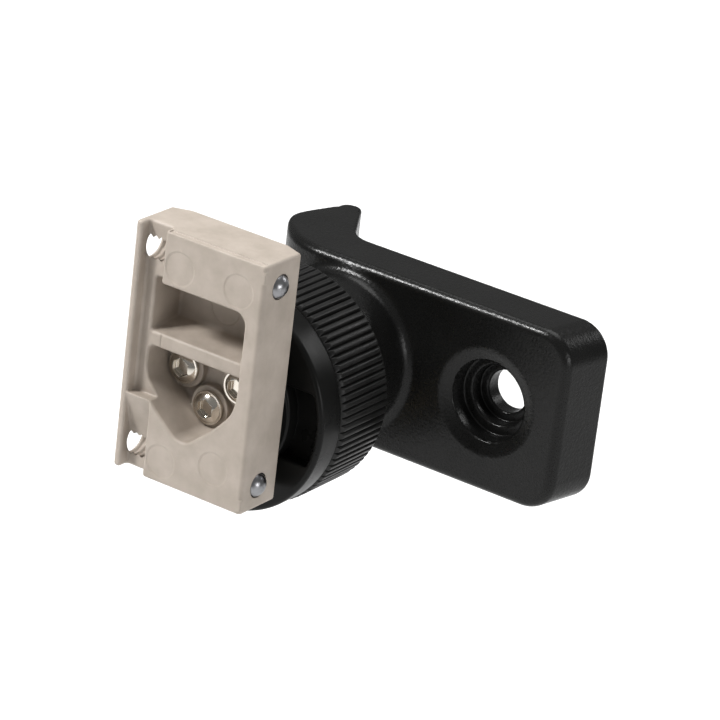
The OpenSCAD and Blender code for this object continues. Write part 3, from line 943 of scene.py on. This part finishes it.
def build_plungers():
    """The set screws and coil springs in the two bores. The balls are the CAD's own."""
    drop = BORE_BOTTOM_Z - BORE_TOP_Z
    for name, shift in (("top", 0.0), ("bottom", drop)):
        field_piece(f"set_screw_{name}_threaded", set_screw_field, SET_LOW, SET_HIGH, 0.25, DARK_STEEL,
                    "swivel_head", [f"set_screw_{name}"], ((0, 0, shift),))
        build_spring(name, BORE_TOP_Z + shift)


def coil(start, end, coil_r, wire_r, turns, centre_y, centre_z):
    """Points and faces of a coil spring along X, with its end coils closed."""
    points_per_turn = 28
    count = turns * points_per_turn
    share = np.linspace(0, 1, count + 1)
    angle = share * turns * TURN
    closed = 0.11
    wire = wire_r * 2
    span = end - start
    along = np.interp(share, [0, closed, 1 - closed, 1], [0, wire, span - 2 * wire, span - wire])
    centre = np.stack([start + wire_r + along, centre_y + coil_r * np.cos(angle),
                       centre_z + coil_r * np.sin(angle)], axis=1)
    tangent = np.gradient(centre, axis=0)
    tangent /= np.linalg.norm(tangent, axis=1, keepdims=True)
    outward = np.stack([np.zeros(count + 1), np.cos(angle), np.sin(angle)], axis=1)
    across = np.cross(tangent, outward)
    wire_points = 10
    ring = np.arange(wire_points) / wire_points * TURN
    rows = []
    for i in range(count + 1):
        circle = np.outer(np.cos(ring), outward[i]) + np.outer(np.sin(ring), across[i])
        rows.append(centre[i] + wire_r * circle)
    points, faces = loft(rows)
    last = count * wire_points
    faces += [tuple(range(wire_points - 1, -1, -1)), tuple(range(last, last + wire_points))]
    return points, faces


def build_spring(name, height):
    """A coil spring in its bore, with a mesh of its own."""
    coil_r = (SPRING_HIGH[2] - SPRING_LOW[2]) / 2 - SPRING_WIRE_R
    points, faces = coil(SPRING_LOW[0], SPRING_HIGH[0], coil_r, SPRING_WIRE_R, SPRING_COILS, BORE_Y,
                         height)
    piece = make_piece(f"spring_{name}_wound", points, faces, SPRING_STEEL, "swivel_head",
                       [f"plunger_spring_{name}"])
    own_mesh(piece)


def finish_cad_nodes():
    """Materials for the CAD nodes whose shapes are right as they are."""
    for node, material in (
            ("sleeve_keys", STEEL), ("locating_dowels", STEEL), ("thrust_washer", NYLON),
            ("ring_liner", BRASS), ("pressure_sleeve", ALLOY), ("friction_washer", FIBRE),
            ("pivot_bush", BRONZE), ("plunger_ball_top", CHROME), ("plunger_ball_bottom", CHROME)):
        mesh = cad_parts[node].data
        mesh.materials.clear()
        mesh.materials.append(material)


# ---------------------------------------------------------------- floor, light and camera

def build_floor():
    """A pale seamless floor, below the part so that its shadow is soft."""
    drop = 0.12
    size = 6.0
    mesh = bpy.data.meshes.new("floor")
    z = cad_box[0][2] - drop
    corners = [(-size, -size, z), (size, -size, z), (size, size, z), (-size, size, z)]
    mesh.from_pydata(corners, [], [(0, 1, 2, 3)])
    floor = bpy.data.objects.new("floor", mesh)
    bpy.context.scene.collection.objects.link(floor)
    material, tree, surface, place = shader("floor_white", (0.93, 0.93, 0.93), 0.9, 0, 0.2)
    vary_color(tree, surface, noise(tree, place, 40, 2.0), (0.925, 0.925, 0.925), (0.94, 0.94, 0.94))
    mesh.materials.append(material)


def area_light(name, place, target, size, power, spread=180):
    """A soft box aimed at target; a smaller spread, in degrees, keeps its light to what it faces."""
    data = bpy.data.lights.new(name, "AREA")
    data.shape = "RECTANGLE"
    data.size, data.size_y = size
    data.energy = power
    data.spread = math.radians(spread)
    light = bpy.data.objects.new(name, data)
    light.location = place
    light.rotation_euler = (Vector(target) - Vector(place)).to_track_quat("-Z", "Y").to_euler()
    bpy.context.scene.collection.objects.link(light)


def build_light():
    """Soft boxes: a key at the upper left in front, one overhead, two on the right.

    One more, behind the part on the left, lights only the floor there.
    """
    world = bpy.data.worlds.new("studio")
    world.use_nodes = True
    world.node_tree.nodes["Background"].inputs["Color"].default_value = (1, 1, 1, 1)
    world.node_tree.nodes["Background"].inputs["Strength"].default_value = 0.3
    bpy.context.scene.world = world
    middle = (-0.02, -0.03, 0.0)
    area_light("key_box", (-0.465, -0.49, 0.63), middle, (0.17, 0.17), 6.3)
    area_light("top_box", (-0.1, 0.15, 0.9), middle, (0.7, 0.7), 4.6)
    area_light("floor_box", (-0.9, 1.5, 1.1), (-0.9, 1.5, 0.0), (2.0, 1.6), 14.0, 80)
    area_light("edge_box", (0.36, 0.7, 0.46), middle, (0.3, 0.3), 1.0)
    area_light("side_box", (0.8, -0.25, 0.12), middle, (0.35, 0.25), 1.5)


def build_camera():
    """The view: from the right, in front and above, through a long lens, rolled a little."""
    azimuth = math.radians(-32.37)
    elevation = math.radians(22.65)
    roll = math.radians(6.96)
    ahead = Vector((math.sin(azimuth) * math.cos(elevation), math.cos(azimuth) * math.cos(elevation),
                    -math.sin(elevation)))
    level = Vector((math.cos(azimuth), -math.sin(azimuth), 0))
    upright = level.cross(ahead)
    right = level * math.cos(roll) + upright * math.sin(roll)
    up = right.cross(ahead)
    data = bpy.data.cameras.new("camera")
    data.sensor_width = 36
    data.lens = 202.4
    data.clip_start = 0.05
    camera = bpy.data.objects.new("camera", data)
    turn = Matrix((right, up, -ahead)).transposed().to_4x4()
    camera.matrix_world = Matrix.Translation((0.4420, -0.7680, 0.3713)) @ turn
    bpy.context.scene.collection.objects.link(camera)
    bpy.context.scene.camera = camera


bpy.context.scene.view_settings.view_transform = "Standard"
bpy.context.scene.view_settings.exposure = 0.17
bpy.context.scene.view_settings.gamma = 0.8
build_camera()
build_light()
build_floor()
build_arm()
build_ring()
build_disc()
build_block()
build_screws()
build_spindle()
build_plungers()
finish_cad_nodes()
